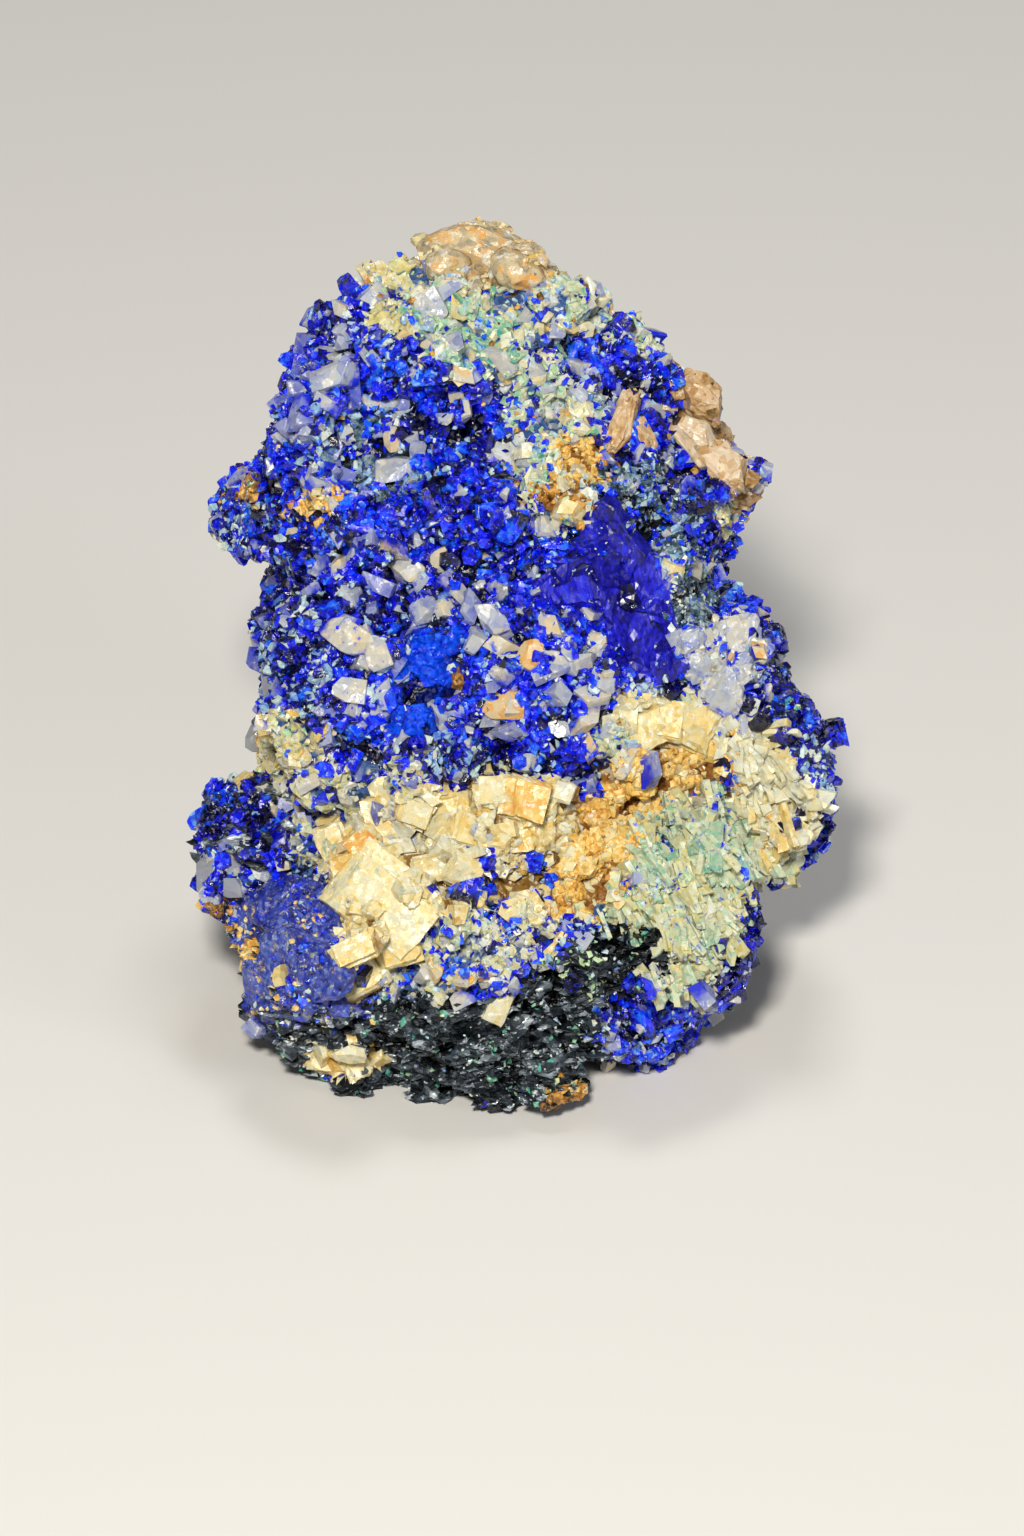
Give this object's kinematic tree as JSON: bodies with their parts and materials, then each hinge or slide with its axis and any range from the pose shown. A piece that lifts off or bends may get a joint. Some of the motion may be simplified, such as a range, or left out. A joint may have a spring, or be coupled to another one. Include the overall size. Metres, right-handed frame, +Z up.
{
  "type": "azurite specimen",
  "caption": "Rough lump of blue azurite, quartz and cream gangue on a dark ore foot, standing upright on its flat broken base for display.",
  "frame": {"origin": "on the flat resting face at z = 0, below the middle of the specimen's box", "axes": "+Z up, -Y out of the side shown in the picture, +X to that view's right"},
  "size_m": [0.0706, 0.0726, 0.0783],
  "materials": {
    "azurite": "glassy deep blue crystals, grainy",
    "quartz": "milky translucent broken grains",
    "gangue": "cream cleaved blocks, waxy",
    "ochre": "dull iron-stained crust",
    "malachite": "thin dull green crust",
    "ore": "dark grey, metallic glints"
  },
  "bodies": {
    "root": {"azurite_specimen": "azurite"}
  },
  "joints": []
}
